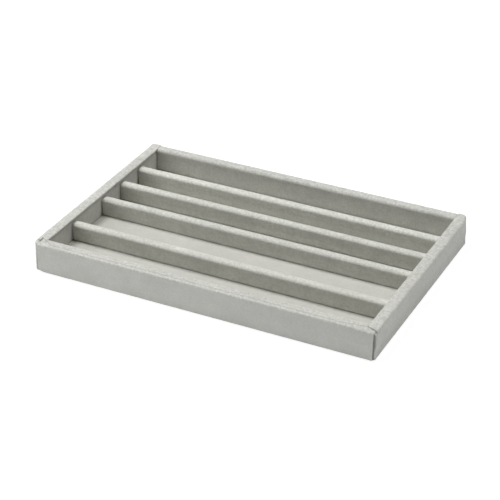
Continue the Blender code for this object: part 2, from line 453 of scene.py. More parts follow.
class WrappedBar:
    """The tree for velour round a bar: hem, outer face, rim, inner face and, if asked for, both ends.

    The bar runs along X from its start to its end, with its outer face at Y 0.
    """

    SIZES = (
        "half_length", "width", "foot", "inner_foot", "top", "hem", "inner_hem", "foot_radius",
        "outer_radius", "inner_radius", "inner_foot_radius", "start_corner", "end_corner", "inner_corner",
        "start_edge", "end_edge", "end_depth", "cap_rows", "rows", "step", "wave_height", "crown", "lip",
        "tilt", "flare", "flare_depth", "start_draw", "end_draw", "foot_share", "start_lift", "end_lift",
        "start_crease", "end_crease", "start_step", "end_step", "step_reach", "step_slant", "step_from",
        "seed", "place", "turn", "material",
    )

    # How far from an end it still leans and lifts, and over what length its waves fade in.
    END_REACH = 0.012
    CALM_REACH = 0.002

    # The share of the flare's depth above which the flare is full, and the depths between which a lip grows.
    FLARE_FULL_SHARE = 0.6
    LIP_START = 0.0028
    LIP_FULL = 0.0008

    # How soft a step's edges are, how far the line of painted shade beside it lies from it, and how wide that
    # line is.
    STEP_BLUR = 0.0003
    STEP_SIDE_BLUR = 0.0004
    STEP_LINE_SHIFT = 0.0002
    STEP_LINE_START = 0.0001
    STEP_LINE_END = 0.0006

    # How wide the line of painted shade at a cut end is.
    CUT_LINE_START = 0.00005
    CUT_LINE_END = 0.0003

    def __init__(self) -> None:
        """Sweep the section along the bar and spread its rows."""
        self.graph = Graph("wrapped bar")
        self.size = self.graph.sizes(self.SIZES)
        self.grid, self.along, section = swept_grid(self.graph, self.section(), self.size.rows)
        _, self.y, self.z = self.graph.split(section)
        self.spread_rows()
        self.near = self.graph.fall(self.distance, 0.0, self.END_REACH)
        self.step_line = self.size.step_reach + self.size.step_slant * self.y

    def section(self) -> Field:
        """The line from the outer hem over the rim to the inner hem.

        Returns:
            The line as a curve.
        """
        size, vector = self.size, self.graph.vector
        corners = [
            vector(0.0, size.hem, size.foot),
            vector(0.0, 0.0, size.foot),
            vector(0.0, 0.0, size.top),
            vector(0.0, size.width, size.top),
            vector(0.0, size.width, size.inner_foot),
            vector(0.0, size.width - size.inner_hem, size.inner_foot),
        ]
        radii = [0.0, size.foot_radius, size.outer_radius, size.inner_radius, size.inner_foot_radius, 0.0]
        return self.graph.outline(corners, radii, size.step)

    def spread_rows(self) -> None:
        """Crowd the rows towards the ends, and keep the last few to close them."""
        graph, size = self.graph, self.size
        reach = graph.math("ABSOLUTE", self.along)
        body = 1.0 - size.cap_rows * 2.0 / (size.rows - 1)
        share = graph.math("MINIMUM", reach / body, 1.0)
        self.closing = graph.math("MAXIMUM", reach - body, 0.0) / graph.math("MAXIMUM", 1.0 - body, TINY)
        crowded = graph.math("SINE", share * CROWDING) / math.sin(CROWDING)
        self.x = graph.math("SIGN", self.along) * size.half_length * crowded
        self.distance = size.half_length - graph.math("ABSOLUTE", self.x)
        self.at_end = graph.math("GREATER_THAN", self.along, 0.0)

    def by_end(self, name: str) -> Field:
        """A size that the bar has once for its start and once for its end."""
        sizes = vars(self.size)
        return self.graph.mix(sizes[f"start_{name}"], sizes[f"end_{name}"], self.at_end)

    def drawn_in(self) -> Field:
        """How far the outer face lies further in: at upright corners and near the ends, less its flare.

        Returns:
            The distance, below nothing where the face lies further out.
        """
        graph, size = self.graph, self.size
        height = graph.smooth(self.z, size.foot, size.top)
        lean = self.by_end("draw") * self.near * graph.mix(size.foot_share, 1.0, height)
        full = size.top - size.flare_depth * self.FLARE_FULL_SHARE
        flare = size.flare * graph.smooth(self.z, size.top - size.flare_depth, full)
        return quarter_drop(graph, self.distance, self.by_end("corner")) + (lean - flare)

    def sunk(self) -> Field:
        """How far the rim lies lower: at its end edges, near the ends and beyond a step.

        Returns:
            The distance, below nothing where the rim lies higher.
        """
        graph, size = self.graph, self.size
        edge = quarter_drop(graph, self.distance, self.by_end("edge"))
        blur, side_blur = self.STEP_BLUR, self.STEP_SIDE_BLUR
        stepped = graph.fall(self.distance, self.step_line - blur, self.step_line + blur)
        beyond = graph.smooth(self.y, size.step_from - side_blur, size.step_from + side_blur)
        return edge - self.by_end("lift") * self.near + self.by_end("step") * (stepped * beyond)

    def shape(self) -> tuple[Field, Field]:
        """Draw the section's points to where the cloth lies.

        Returns:
            How far each point lies across the bar and how high.
        """
        graph, size, y, z = self.graph, self.size, self.y, self.z
        outer_in = self.drawn_in()
        inner_in = quarter_drop(graph, self.distance, size.inner_corner)
        lip = size.lip * graph.smooth(z, size.top - self.LIP_START, size.top - self.LIP_FULL)
        clear = size.width + lip - inner_in - outer_in
        across = outer_in + y / size.width * clear

        ending = graph.smooth(z, size.top - size.end_depth, size.top)
        bulge = 1.0 - graph.math("POWER", (y - size.width / 2) / (size.width / 2), 2.0)
        on_rim = graph.smooth(z, size.top - RIM_DEPTH, size.top)
        up = z - self.sunk() * ending + (size.crown * bulge + size.tilt * y / size.width) * on_rim

        # A closed end runs from the last section to a point low in its middle.
        across = graph.mix(across, outer_in + clear / 2, self.closing)
        up = graph.mix(up, size.foot + size.width / 2, self.closing)
        return across, up

    def marked(self) -> Field:
        """Keep on the points the top band that is painted lighter, how still the cloth is, and where shade is
        painted in.

        Returns:
            The grid with the three numbers on it.
        """
        graph, size = self.graph, self.size
        marked = graph.store(self.grid, "edge", worn(graph, self.z, size.top))
        marked = graph.store(marked, "calm", graph.smooth(self.distance, 0.0, self.CALM_REACH))
        beside = graph.math("ABSOLUTE", self.distance - self.step_line + self.STEP_LINE_SHIFT)
        on_rim = graph.smooth(self.z, size.top - RIM_DEPTH, size.top)
        at_step = graph.fall(beside, self.STEP_LINE_START, self.STEP_LINE_END) * on_rim
        at_cut = graph.fall(self.distance, self.CUT_LINE_START, self.CUT_LINE_END)
        # Painted shade: the cloth is darkened beside the rim's step and at a cut end, where shade falls.
        painted_shading = graph.math("MAXIMUM", at_step, at_cut) * self.by_end("crease") * (1.0 - self.closing)
        return graph.store(marked, "crease", painted_shading)

    def tree(self) -> bpy.types.NodeTree:
        """Draw the cloth and end the tree.

        Returns:
            The finished tree.
        """
        graph, size = self.graph, self.size
        across, up = self.shape()
        cloth = graph.place(self.marked(), graph.vector(self.x, across, up))
        merged = graph.take("GeometryNodeMergeByDistance", {"Geometry": cloth, "Distance": TINY})
        settled = graph.settle(merged, size.place, size.turn)
        height = graph.waves(size.seed) * size.wave_height * graph.kept("calm")
        graph.end(graph.ruffle(settled, height), size.material)
        return graph.tree


class LappedStrip:
    """The tree for a velour strip over a long face, whose top edge laps over the rim."""

    SIZES = (
        "half_length", "foot", "top", "lap", "lap_radius", "start_fade", "end_fade", "start_drop",
        "end_drop", "start_lap", "end_lap", "lap_slant", "lap_tilt", "lap_crease", "start_crease",
        "foot_rise", "foot_short", "rows", "step", "wave_height", "seed", "place", "turn", "material",
    )

    # How far from its ends the lap is longer: from the start, and where that fades away before the end.
    START_REACH = 0.010
    END_FULL = 0.006
    END_REACH = 0.022

    # How deep under the top its drop reaches, and how far the foot rises at the start.
    DROP_DEPTH = 0.003
    FOOT_REACH = 0.004

    # How deep under the top the end's slanted cut starts and is full, and how far along it reaches.
    CUT_START = 0.001
    CUT_FULL = 0.007
    CUT_REACH = 0.012

    # How far the lap's cut edge wanders, and over what length.
    WANDER = 0.0009
    WANDER_LENGTH = 0.009

    # The line of painted shade at the start's cut: how wide it is, and where on the rim it sets in.
    START_LINE_START = 0.0009
    START_LINE_END = 0.0016
    START_LINE_NEAR = 0.0020
    START_LINE_FAR = 0.0035

    # The line of painted shade along the lap's cut edge: how far before the edge it sets in and is full.
    LAP_LINE_START = 0.0010
    LAP_LINE_FULL = 0.0002

    def __init__(self) -> None:
        """Sweep the section along the strip and crowd its rows towards the ends."""
        self.graph = graph = Graph("face strip")
        self.size = size = graph.sizes(self.SIZES)
        corners = [
            graph.vector(0.0, 0.0, size.foot),
            graph.vector(0.0, 0.0, size.top),
            graph.vector(0.0, size.lap, size.top),
        ]
        curve = graph.outline(corners, [0.0, size.lap_radius, 0.0], size.step)
        self.grid, along, section = swept_grid(graph, curve, size.rows)
        _, self.y, self.z = graph.split(section)
        self.x = size.half_length * graph.math("SINE", along * CROWDING) / math.sin(CROWDING)
        self.from_start = self.x + size.half_length
        self.from_end = size.half_length - self.x

    def reach(self) -> Field:
        """How far the lap reaches over the rim, which is its own length at each end.

        Returns:
            The distance from the face.
        """
        graph, size = self.graph, self.size
        at_start = graph.fall(self.from_start, 0.0, self.START_REACH)
        at_end = graph.fall(self.from_end, self.END_FULL, self.END_REACH)
        slanted = size.end_lap + size.lap_slant * graph.math("MINIMUM", self.from_end, self.END_FULL)
        return size.lap + (size.start_lap - size.lap) * at_start + (slanted - size.lap) * at_end

    def height(self, lapped: Field) -> Field:
        """How high the cloth lies.

        Args:
            lapped: How far each point lies over the rim.

        Returns:
            The height of each point.
        """
        graph, size, z = self.graph, self.size, self.z
        drop = size.start_drop * graph.fall(self.from_start, 0.0, size.start_fade)
        drop = drop + size.end_drop * graph.fall(self.from_end, 0.0, size.end_fade)
        drop = drop * graph.smooth(z, size.top - self.DROP_DEPTH, size.top)
        rise = size.foot_rise * graph.fall(self.from_start, 0.0, self.FOOT_REACH)
        rise = rise * graph.fall(z, size.foot, size.foot + self.FOOT_REACH)
        return z - drop + rise + size.lap_tilt * lapped

    def cut(self) -> Field:
        """How much shorter the strip is at its end's foot.

        Returns:
            The distance, nothing at the top.
        """
        graph, size = self.graph, self.size
        below = graph.fall(self.z, size.top - self.CUT_FULL, size.top - self.CUT_START)
        return size.foot_short * below * graph.fall(self.from_end, 0.0, self.CUT_REACH)

    def marked(self, lapped: Field, reach: Field) -> Field:
        """Keep on the points the top band that is painted lighter and where shade is painted in.

        Args:
            lapped: How far each point lies over the rim.
            reach: How far the lap reaches there.

        Returns:
            The grid with the two numbers on it.
        """
        graph, size = self.graph, self.size
        marked = graph.store(self.grid, "edge", worn(graph, self.z, size.top))
        at_start = graph.fall(self.from_start, self.START_LINE_START, self.START_LINE_END)
        at_start = at_start * graph.smooth(lapped, self.START_LINE_NEAR, self.START_LINE_FAR)
        at_edge = graph.smooth(lapped, reach - self.LAP_LINE_START, reach - self.LAP_LINE_FULL)
        # Painted shade: darker at the start's cut and along the lap's cut edge, where shade falls.
        painted_shading = graph.math("MAXIMUM", at_start * size.start_crease, at_edge * size.lap_crease)
        return graph.store(marked, "crease", painted_shading)

    def tree(self) -> bpy.types.NodeTree:
        """Draw the strip and end the tree.

        Returns:
            The finished tree.
        """
        graph, size = self.graph, self.size
        reach = self.reach()
        lapped = self.y * reach / size.lap
        inputs = {"W": size.seed + self.x / self.WANDER_LENGTH, "Detail": WAVE_DETAIL}
        wander = graph.take("ShaderNodeTexNoise", inputs, noise_dimensions="1D") - 0.5
        sway = wander * self.WANDER * (self.y / size.lap)
        position = graph.vector(self.x - self.cut(), lapped + sway, self.height(lapped))
        cloth = graph.place(self.marked(lapped, reach), position)
        settled = graph.settle(cloth, size.place, size.turn)
        graph.end(graph.ruffle(settled, graph.waves(size.seed) * size.wave_height), size.material)
        return graph.tree


class FlatSheet:
    """The tree for a flat sheet whose edges bend down a little."""

    SIZES = (
        "half_length", "half_depth", "top", "edge_radius", "columns", "rows", "wave_height", "seed",
        "material",
    )

    # Over what length from its edges the sheet's waves fade in.
    CALM_REACH = 0.004

    def tree(self) -> bpy.types.NodeTree:
        """Draw the sheet and end the tree.

        Returns:
            The finished tree.
        """
        graph = Graph("flat sheet")
        size = graph.sizes(self.SIZES)
        inputs = {"Size X": 2.0, "Size Y": 2.0, "Vertices X": size.columns, "Vertices Y": size.rows}
        grid = graph.take("GeometryNodeMeshGrid", inputs, "Mesh")
        along, across, _ = graph.split(graph.here())
        x = size.half_length * graph.math("SINE", along * QUARTER_TURN)
        y = size.half_depth * graph.math("SINE", across * QUARTER_TURN)
        nearest = graph.math("MINIMUM", size.half_length - graph.math("ABSOLUTE", x),
                             size.half_depth - graph.math("ABSOLUTE", y))
        z = size.top - quarter_drop(graph, nearest, size.edge_radius)
        marked = graph.store(grid, "edge", 0.0)
        marked = graph.store(marked, "crease", 0.0)
        marked = graph.store(marked, "calm", graph.smooth(nearest, 0.0, self.CALM_REACH))
        cloth = graph.place(marked, graph.vector(x, y, z))
        waves = graph.waves(size.seed, FLAT_WAVE_SIZE, FLAT_RIPPLE_SIZE) * size.wave_height
        graph.end(graph.ruffle(cloth, waves * graph.kept("calm")), size.material)
        return graph.tree


# Finishes
class Shading:
    """A material under construction, with short calls for its nodes."""

    def __init__(self, name: str) -> None:
        """Start with one Principled shader."""
        self.material = bpy.data.materials.new(name)
        self.material.use_nodes = True
        self.nodes = self.material.node_tree.nodes
        self.shader = self.nodes["Principled BSDF"]
        self.coordinates = self.nodes.new("ShaderNodeTexCoord").outputs["Object"]

    def link(self, source: bpy.types.NodeSocket, target: bpy.types.NodeSocket) -> None:
        """Join two sockets."""
        self.material.node_tree.links.new(source, target)

    def set(self, **values: object) -> None:
        """Set the shader's own sockets, with underscores for the blanks in their names."""
        for name, value in values.items():
            self.shader.inputs[name.replace("_", " ")].default_value = value

    def scaled(self, size: float, stretch: Sequence[float] = (1.0, 1.0, 1.0)) -> bpy.types.NodeSocket:
        """The piece's own coordinates, scaled to a pattern.

        Args:
            size: The pattern's size in metres.
            stretch: How many times finer it is along each axis.

        Returns:
            The scaled coordinates.
        """
        mapping = self.nodes.new("ShaderNodeMapping")
        mapping.inputs["Scale"].default_value = tuple(part / size for part in stretch)
        self.link(self.coordinates, mapping.inputs["Vector"])
        return mapping.outputs[0]

    def noise(self, size: float, detail: float = 3.0, rough: float = 0.55,
              stretch: Sequence[float] = (1.0, 1.0, 1.0)) -> bpy.types.NodeSocket:
        """Add noise.

        Args:
            size: About how large its features are, in metres.
            detail: How many finer layers it has.
            rough: How strong those are.
            stretch: How many times finer it is along each axis.

        Returns:
            A number from 0 to 1.
        """
        noise = self.nodes.new("ShaderNodeTexNoise")
        noise.inputs["Scale"].default_value = 1.0
        noise.inputs["Detail"].default_value = detail
        noise.inputs["Roughness"].default_value = rough
        self.link(self.scaled(size, stretch), noise.inputs["Vector"])
        return noise.outputs[0]

    def cells(self, size: float) -> bpy.types.NodeSocket:
        """Scatter points.

        Args:
            size: How far apart they are.

        Returns:
            The distance to the nearest of them, as a share of that size.
        """
        cells = self.nodes.new("ShaderNodeTexVoronoi")
        cells.inputs["Scale"].default_value = 1.0
        self.link(self.scaled(size), cells.inputs["Vector"])
        return cells.outputs["Distance"]

    def spread(self, value: bpy.types.NodeSocket, given: Levels, levels: Levels) -> bpy.types.NodeSocket:
        """Map one range onto another, without running past its ends.

        Args:
            value: The number to map.
            given: The range that it comes from.
            levels: The range that it goes to.

        Returns:
            The mapped number.
        """
        node = self.nodes.new("ShaderNodeMapRange")
        names = ("From Min", "From Max", "To Min", "To Max")
        for name, limit in zip(names, (*given, *levels)):
            node.inputs[name].default_value = limit
        self.link(value, node.inputs["Value"])
        return node.outputs["Result"]

    def levels(self, noise: bpy.types.NodeSocket, levels: Levels) -> bpy.types.NodeSocket:
        """Map most of a noise's values onto a range."""
        return self.spread(noise, (NOISE_LOW, NOISE_HIGH), levels)

    def about_one(self, noise: bpy.types.NodeSocket, amount: float) -> bpy.types.NodeSocket:
        """Map a noise onto a range as far below 1 as above it."""
        return self.levels(noise, (1.0 - amount, 1.0 + amount))

    def math(self, operation: str, first: object, second: object) -> bpy.types.NodeSocket:
        """Join two numbers.

        Args:
            operation: What is done with them.
            first: A socket or a plain number.
            second: Another one.

        Returns:
            The result.
        """
        node = self.nodes.new("ShaderNodeMath")
        node.operation = operation
        for socket, value in zip(node.inputs, (first, second)):
            if isinstance(value, bpy.types.NodeSocket):
                self.link(value, socket)
            else:
                socket.default_value = value
        return node.outputs[0]

    def product(self, first: bpy.types.NodeSocket, *others: bpy.types.NodeSocket) -> bpy.types.NodeSocket:
        """Multiply numbers, one after the other."""
        for other in others:
            first = self.math("MULTIPLY", first, other)
        return first

    def bump(self, height: bpy.types.NodeSocket, strength: float, distance: float,
             under: bpy.types.NodeSocket | None = None) -> bpy.types.NodeSocket:
        """Add a bump.

        Args:
            height: How high each point is, from 0 to 1.
            strength: How much of the bump shows.
            distance: The height in metres that 1 stands for.
            under: A coarser bump that this one lies on.

        Returns:
            The bent normal.
        """
        node = self.nodes.new("ShaderNodeBump")
        node.inputs["Strength"].default_value = strength
        node.inputs["Distance"].default_value = distance
        self.link(height, node.inputs["Height"])
        if under is not None:
            self.link(under, node.inputs["Normal"])
        return node.outputs[0]

    def attribute(self, name: str) -> bpy.types.NodeSocket:
        """A number kept on the mesh."""
        node = self.nodes.new("ShaderNodeAttribute")
        node.attribute_name = name
        return node.outputs["Fac"]

    def dress(self, colour: Colour, light: bpy.types.NodeSocket, rough: bpy.types.NodeSocket,
              normal: bpy.types.NodeSocket) -> None:
        """Link the shader's patterns.

        Args:
            colour: The finish's mean colour.
            light: How many times lighter each point is.
            rough: How rough it is.
            normal: Its bent normal.
        """
        tint = self.nodes.new("ShaderNodeVectorMath")
        tint.operation = "SCALE"
        tint.inputs[0].default_value = tuple(colour)
        self.link(light, tint.inputs["Scale"])
        self.link(tint.outputs[0], self.shader.inputs["Base Color"])
        self.link(rough, self.shader.inputs["Roughness"])
        self.link(normal, self.shader.inputs["Normal"])


@dataclass(frozen=True)
class Velour:
    """Short pile: mottled in brush strokes, with a painted highlight along its top and painted shade at seams
    and tucks.
    """

    name: str
    colour: Colour
    mottling: float = 0.075
    speckle: float = 0.075
    edge_speckle: float = 0.16
    # How much lighter the painted highlight along the top is, and how dark the painted shade at seams and
    # tucks is.
    wear: float = 0.06
    tuck: float = 0.70
    sheen: float = 0.12
    roughness: float = 0.92
    roughness_change: float = 0.05
    cloud_size: float = 0.022
    stroke_size: float = 0.0045
    fleck_size: float = 0.0017
    tuft_size: float = 0.0009
    pile_size: float = 0.00032
    cloud_share: float = 0.5
    stroke_share: float = 0.6
    tuft_share: float = 1.0
    pile_share: float = 0.8

    def material(self) -> bpy.types.Material:
        """Build the shader.

        Returns:
            The material.
        """
        shading = Shading(self.name)
        clouds = shading.noise(self.cloud_size, detail=2.0)
        strokes = shading.noise(self.stroke_size, detail=3.0, stretch=(0.6, 1.0, 1.0))
        tufts = shading.noise(self.tuft_size, detail=3.0, rough=0.65)
        pile = shading.noise(self.pile_size, detail=2.0, rough=0.7)
        shares = ((clouds, self.cloud_share), (strokes, self.stroke_share),
                  (tufts, self.tuft_share), (pile, self.pile_share))
        mottled = [shading.about_one(noise, self.mottling * share) for noise, share in shares]

        full = (0.0, 1.0)
        edge = shading.attribute("edge")
        flecks = shading.levels(shading.noise(self.fleck_size, detail=2.0, rough=0.6), (-1.0, 1.0))
        amount = shading.spread(edge, full, (self.speckle, self.edge_speckle))
        flecked = shading.math("ADD", shading.math("MULTIPLY", flecks, amount), 1.0)
        # Painted highlight: the top band is made lighter, where light catches the rim.
        painted_top_highlight = shading.spread(edge, full, (1.0, 1.0 + self.wear))
        # Painted shade: darker where the mesh marks seams and tucks that shade falls into.
        painted_shading = shading.spread(shading.attribute("crease"), full, (1.0, 1.0 - self.tuck))
        light = shading.product(*mottled, flecked, painted_top_highlight, painted_shading)

        change = self.roughness_change
        rough = shading.levels(strokes, (self.roughness - change, self.roughness + change))
        under = shading.bump(tufts, strength=0.35, distance=0.00025)
        bent = shading.bump(pile, strength=0.45, distance=0.00015, under=under)
        shading.dress(self.colour, light, rough, bent)
        shading.set(Specular_IOR_Level=0.15, Sheen_Weight=self.sheen, Sheen_Roughness=0.6)
        shading.set(Sheen_Tint=(1.0, 0.99, 0.96, 1.0))
        return shading.material


@dataclass(frozen=True)
class Felt:
    """Pressed felt: short matted fibres without a direction."""

    name: str
    colour: Colour
    cloud_size: float = 0.009
    cloud_levels: Levels = (0.93, 1.07)
    fibre_size: float = 0.0007
    fibre_levels: Levels = (0.86, 1.14)
    roughness: Levels = (0.88, 1.0)

    def material(self) -> bpy.types.Material:
        """Build the shader.

        Returns:
            The material.
        """
        shading = Shading(self.name)
        clouds = shading.noise(self.cloud_size)
        fibres = shading.noise(self.fibre_size, detail=4.0, rough=0.7)
        light = shading.product(shading.levels(clouds, self.cloud_levels),
                                shading.levels(fibres, self.fibre_levels))
        rough = shading.levels(fibres, self.roughness)
        shading.dress(self.colour, light, rough, shading.bump(fibres, strength=0.6, distance=0.0003))
        shading.set(Specular_IOR_Level=0.1, Sheen_Weight=0.1, Sheen_Roughness=0.7)
        return shading.material


@dataclass(frozen=True)
class Fibreboard:
    """Raw fibreboard: fine brown fibres with darker specks."""

    name: str
    colour: Colour
    cloud_size: float = 0.02
    cloud_levels: Levels = (0.94, 1.06)
    fibre_size: float = 0.0011
    fibre_levels: Levels = (0.84, 1.14)
    speck_size: float = 0.0018
    speck_rim: Levels = (0.05, 0.25)
    speck_levels: Levels = (0.8, 1.0)
    roughness: Levels = (0.68, 0.88)

    def material(self) -> bpy.types.Material:
        """Build the shader.

        Returns:
            The material.
        """
        shading = Shading(self.name)
        clouds = shading.noise(self.cloud_size)
        fibres = shading.noise(self.fibre_size, detail=4.0, rough=0.65, stretch=(0.35, 1.0, 1.6))
        specks = shading.cells(self.speck_size)
        light = shading.product(shading.levels(clouds, self.cloud_levels),
                                shading.levels(fibres, self.fibre_levels),
                                shading.spread(specks, self.speck_rim, self.speck_levels))
        rough = shading.levels(fibres, self.roughness)
        shading.dress(self.colour, light, rough, shading.bump(fibres, strength=0.3, distance=0.0001))
        shading.set(Specular_IOR_Level=0.3)
        return shading.material


@dataclass(frozen=True)
class Card:
    """Grey card: pulp clouds with light and dark flecks."""

    name: str
    colour: Colour
    cloud_size: float = 0.014
    cloud_levels: Levels = (0.95, 1.05)
    fleck_size: float = 0.0006
    fleck_levels: Levels = (0.88, 1.1)
    roughness: Levels = (0.75, 0.88)

    def material(self) -> bpy.types.Material:
        """Build the shader.

        Returns:
            The material.
        """
        shading = Shading(self.name)
        clouds = shading.noise(self.cloud_size, detail=4.0)
        flecks = shading.noise(self.fleck_size, detail=2.0, rough=0.8)
        light = shading.product(shading.levels(clouds, self.cloud_levels),
                                shading.levels(flecks, self.fleck_levels))
        rough = shading.levels(clouds, self.roughness)
        shading.dress(self.colour, light, rough, shading.bump(flecks, strength=0.2, distance=0.00008))
        shading.set(Specular_IOR_Level=0.3)
        return shading.material


@dataclass
class Finishes:
    """Every finish on the tray, built once."""

    wall_velour: bpy.types.Material = field(init=False)
    strip_velour: bpy.types.Material = field(init=False)
    cover_velours: list[bpy.types.Material] = field(init=False)
    floor_velour: bpy.types.Material = field(init=False)
    felt: bpy.types.Material = field(init=False)
    board: bpy.types.Material = field(init=False)
    card: bpy.types.Material = field(init=False)

    def __post_init__(self) -> None:
        """Build the materials."""
        self.wall_velour = Velour("grey velour", WALL_COLOUR).material()
        self.strip_velour = Velour("grey face velour", WALL_COLOUR, mottling=0.06, speckle=0.04).material()
        self.cover_velours = [self.cover(number, painted_light) for number, painted_light in enumerate(COVER_PAINTED_LIGHT, 1)]
        self.floor_velour = Velour("grey floor velour", FLOOR_COLOUR, mottling=0.05, speckle=0.03,
                                   edge_speckle=0.03).material()
        self.felt = Felt("grey felt", (0.30, 0.30, 0.28)).material()
        self.board = Fibreboard("raw fibreboard", (0.36, 0.25, 0.16)).material()
        self.card = Card("grey card", (0.42, 0.40, 0.36)).material()

    @staticmethod
    def cover(number: int, painted_light: float) -> bpy.types.Material:
        """The velour of one partition, made lighter or darker by the painted light of its cover."""
        colour = tuple(part * painted_light for part in COVER_COLOUR)
        return Velour(f"grey cover velour {number}", colour, wear=0.11, edge_speckle=0.11).material()


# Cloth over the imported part
def solid_piece(name: str, tree: bpy.types.NodeTree, sizes: dict[str, object],
                thickness: float) -> bpy.types.Object:
    """Run a tree and turn the sheet that it gives into a closed piece of plain mesh.

    Args:
        name: The piece's name.
        tree: The tree that draws the sheet's outer surface.
        sizes: Its inputs, by their names, among others that it doesn't use.
        thickness: The cloth's thickness, behind that surface.

    Returns:
        The finished object, at the origin and without modifiers.
    """
    worker = bpy.data.objects.new(f"{name}_worker", bpy.data.meshes.new(f"{name}_worker"))
    bpy.context.scene.collection.objects.link(worker)
    drawn = worker.modifiers.new("drawn", "NODES")
    drawn.node_group = tree
    labelled = {label(key): value for key, value in sizes.items()}
    for item in tree.interface.items_tree:
        if item.in_out == "INPUT":
            drawn[item.identifier] = labelled[item.name]
    cloth = worker.modifiers.new("cloth", "SOLIDIFY")
    cloth.thickness = thickness
    cloth.offset = -1.0
    worker.update_tag()
    bpy.context.view_layer.update()
    shown = worker.evaluated_get(bpy.context.evaluated_depsgraph_get())
    mesh = bpy.data.meshes.new_from_object(shown)
    mesh.name = name
    mesh.set_sharp_from_angle(angle=math.radians(SHARP_BEND))
    piece = bpy.data.objects.new(name, mesh)
    bpy.context.scene.collection.objects.link(piece)
    bpy.data.objects.remove(worker, do_unlink=True)
    return piece


def own(piece: bpy.types.Object, slot: str, *nodes: str) -> None:
    """Attach a piece to the tray's body and hide the nodes that it replaces.

    Args:
        piece: The piece.
        slot: Not used.
        nodes: The nodes that it replaces.
    """
    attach(piece, BODY)
    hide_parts(*nodes)


def own_sizes(cloth: object) -> dict[str, float]:
    """Every length and number that a cloth's dataclass holds, by name."""
    return {part.name: getattr(cloth, part.name) for part in fields(cloth) if part.type is float}


def run_sizes(half_length: float, side: Side, place: Vector,
              material: bpy.types.Material) -> dict[str, object]:
    """The sizes that every swept cloth takes.

    Args:
        half_length: Half of its run.
        side: Which way it looks.
        place: Where the middle of its outer face stands.
        material: Its finish.

    Returns:
        The sizes, by name.
    """
    return {
        "half_length": half_length,
        "rows": int(2 * half_length * ROWS_PER_METRE) + SPARE_ROWS,
        "step": PROFILE_STEP,
        "place": place,
        "turn": math.radians(side.value),
        "material": material,
    }


@dataclass
class Wrap:
    """Velour over one wall board or partition.

    Its start and end are those of its own run, seen from outside: a front wall starts at the left.
    """

    node: str
    side: Side
    tree: bpy.types.NodeTree
    material: bpy.types.Material
    rests_on: str
    flat: tuple[float, float]
    seed: float
    closed: bool = False

    # Against the node: a lower top, a thinner wrap, an outer face further out, and a higher inner foot.
    top_drop: float = 0.0
    slimmer: float = 0.0
    shift: float = 0.0
    inner_low: float = 0.0

    # The section: how far the hems turn in, and its roundings.
    hem: float = 0.0
    inner_hem: float = 0.0
    foot_radius: float = 0.0012
    outer_radius: float = 0.0014
    inner_radius: float = 0.0012
    inner_foot_radius: float = 0.0

    # The ends: their upright corners, and their top edges with the depth that those reach down.
    start_corner: float = 0.0
    end_corner: float = 0.0
    inner_corner: float = 0.0
    start_edge: float = 0.0
    end_edge: float = 0.0
    end_depth: float = 0.006

    # The rim: its waves, its bulge, its overhang inwards and its slope.
    wave_height: float = 0.00010
    crown: float = 0.0
    lip: float = 0.0
    tilt: float = 0.0

    # How far the outer face leans out at its top and how deep down, and how far in near the ends, with the
    # share of that at its foot.
    flare: float = 0.0
    flare_depth: float = 0.008
    start_draw: float = 0.0
    end_draw: float = 0.0
    foot_share: float = 1.0

    # How much fuller the rim is near the ends, and how dark the shade painted into its tucks there is.
    start_lift: float = 0.0
    end_lift: float = 0.0
    start_crease: float = 0.0
    end_crease: float = 0.0

    # A small step down in the rim: its depth at each end, its distance from the end, how much that grows
    # towards the inside, and where across the rim it starts.
    start_step: float = 0.0
    end_step: float = 0.0
    step_reach: float = 0.0
    step_slant: float = 0.0
    step_from: float = -0.0010

    def build(self) -> bpy.types.Object:
        """Draw the wrap over its node's place.

        Returns:
            The piece.
        """
        low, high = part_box(self.node)
        middle = (low + high) / 2
        along, across = (0, 1) if self.side.runs_along_x else (1, 0)
        outward = self.side.outward
        place = Vector((middle.x, middle.y, 0.0))
        place[across] = (low[across] if outward < 0 else high[across]) + outward * self.shift
        sizes = {
            **own_sizes(self),
            **run_sizes((high[along] - low[along]) / 2, self.side, place, self.material),
            "width": high[across] - low[across] - self.slimmer + self.shift,
            "foot": low.z,
            "inner_foot": self.inner_low or low.z,
            "top": high.z - self.top_drop,
            "cap_rows": CAP_ROWS if self.closed else 0,
        }
        piece = solid_piece(f"{self.node}_velour", self.tree, sizes, CLOTH)
        own(piece, "velour", self.node)
        return piece


@dataclass
class FaceStrip:
    """The velour strip glued over a long face.

    Its sizes are those of a plain strip, which ends at the rim. One that laps over the rim has its own.
    """

    node: str
    side: Side
    tree: bpy.types.NodeTree
    material: bpy.types.Material
    rests_on: str
    seed: float
    top: float

    # The lap: its reach, rounding, slope and the shade painted along its edge, its reach at both ends and its
    # slant at the end.
    lap: float = PLAIN_LAP
    lap_radius: float = CLOTH
    lap_tilt: float = 0.0
    lap_crease: float = 0.0
    start_lap: float = PLAIN_LAP
    end_lap: float = PLAIN_LAP
    lap_slant: float = 0.0

    # How far the top lies lower at the ends, how far along that reaches, and how dark the shade painted at
    # the start's cut is.
    start_drop: float = 0.0
    end_drop: float = 0.0
    start_fade: float = 0.045
    end_fade: float = 0.020
    start_crease: float = 0.0

    # How far the foot rises at the start, and how much shorter it is at the end.
    foot_rise: float = 0.0008
    foot_short: float = 0.0
    wave_height: float = 0.00008

    def build(self) -> bpy.types.Object:
        """Draw the strip over its node's place.

        Returns:
            The piece.
        """
        low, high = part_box(self.node)
        half_length = (high.x - low.x) / 2
        place = Vector(((low.x + high.x) / 2, low.y if self.side is Side.FRONT else high.y, 0.0))
        run = run_sizes(half_length, self.side, place, self.material)
        sizes = {**own_sizes(self), **run, "foot": low.z}
        piece = solid_piece(f"{self.node}_velour", self.tree, sizes, CLOTH)
        own(piece, "velour", self.node)
        return piece


